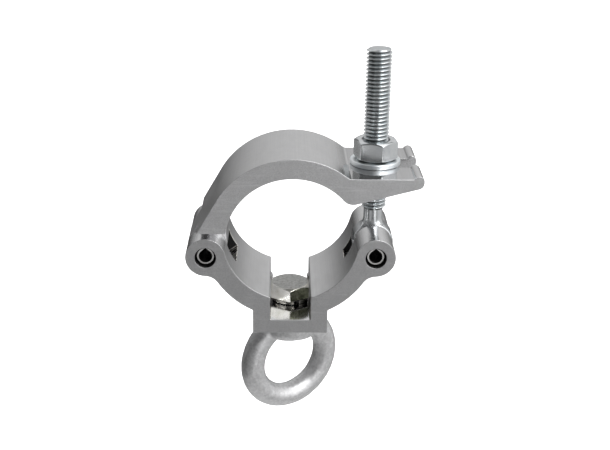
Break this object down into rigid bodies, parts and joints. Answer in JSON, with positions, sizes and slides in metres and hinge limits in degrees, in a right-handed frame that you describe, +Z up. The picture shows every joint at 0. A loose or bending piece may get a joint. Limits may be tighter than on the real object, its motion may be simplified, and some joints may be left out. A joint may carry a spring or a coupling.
{
  "type": "pipe clamp with eye nut",
  "caption": "Hinged aluminium pipe clamp: a half-round body and curved jaw close on a tube under a swing bolt and nut, with an eye nut hanging below for a shackle.",
  "frame": {"origin": "centre of the round tube seat in the lower body, at half the clamp's width", "axes": "+X to the swing bolt, +Y along the tube, +Z up the swing bolt"},
  "size_m": [0.0916, 0.041, 0.1557],
  "materials": {
    "extrusion": "satin as-extruded flanks along the tube, machined nose seat and slots, fine saw grain on the cut end faces",
    "zinc_steel": "bright zinc plate",
    "galvanised_steel": "mottled galvanised forging",
    "spring_steel": "dark rolled spring steel"
  },
  "bodies": {
    "base": {"lower_body": "extrusion", "jaw_pin": "spring_steel", "bolt_pin": "spring_steel", "hanging_bolt": "zinc_steel", "lock_washer": "spring_steel"},
    "jaw": {"upper_jaw": "extrusion"},
    "bolt": {"swing_bolt": "zinc_steel"},
    "washer": {"nut_washer": "zinc_steel"},
    "nut": {"clamp_nut": "zinc_steel"},
    "eye": {"eye_nut": "galvanised_steel"}
  },
  "joints": [
    {"name": "nut_spin", "type": "hinge", "parent": "washer", "child": "nut", "pos_m": [0.03325, 0, 0.0303], "axis": [0, 0, 1], "range_deg": [0, 8280]},
    {"name": "nut_travel", "type": "slide", "parent": "bolt", "child": "washer", "axis": [0, 0, 1], "range_m": [0, 0.0346]},
    {"name": "bolt_swing", "type": "hinge", "parent": "base", "child": "bolt", "pos_m": [0.03325, 0, -0.00841], "axis": [0, 1, 0], "range_deg": [0, 80]},
    {"name": "jaw_hinge", "type": "hinge", "parent": "base", "child": "jaw", "pos_m": [-0.03325, 0, -0.00841], "axis": [0, -1, 0], "range_deg": [0, 104.9]},
    {"name": "eye_nut_turn", "type": "hinge", "parent": "base", "child": "eye", "pos_m": [0, 0, -0.06285], "axis": [0, 0, 1], "continuous": true}
  ],
  "couplings": [
    {"joint": "nut_travel", "follows": "nut_spin", "m_per_rad": 0.00023873},
    {"joint": "bolt_swing", "follows": "nut_spin", "ratio": 0.00965}
  ]
}
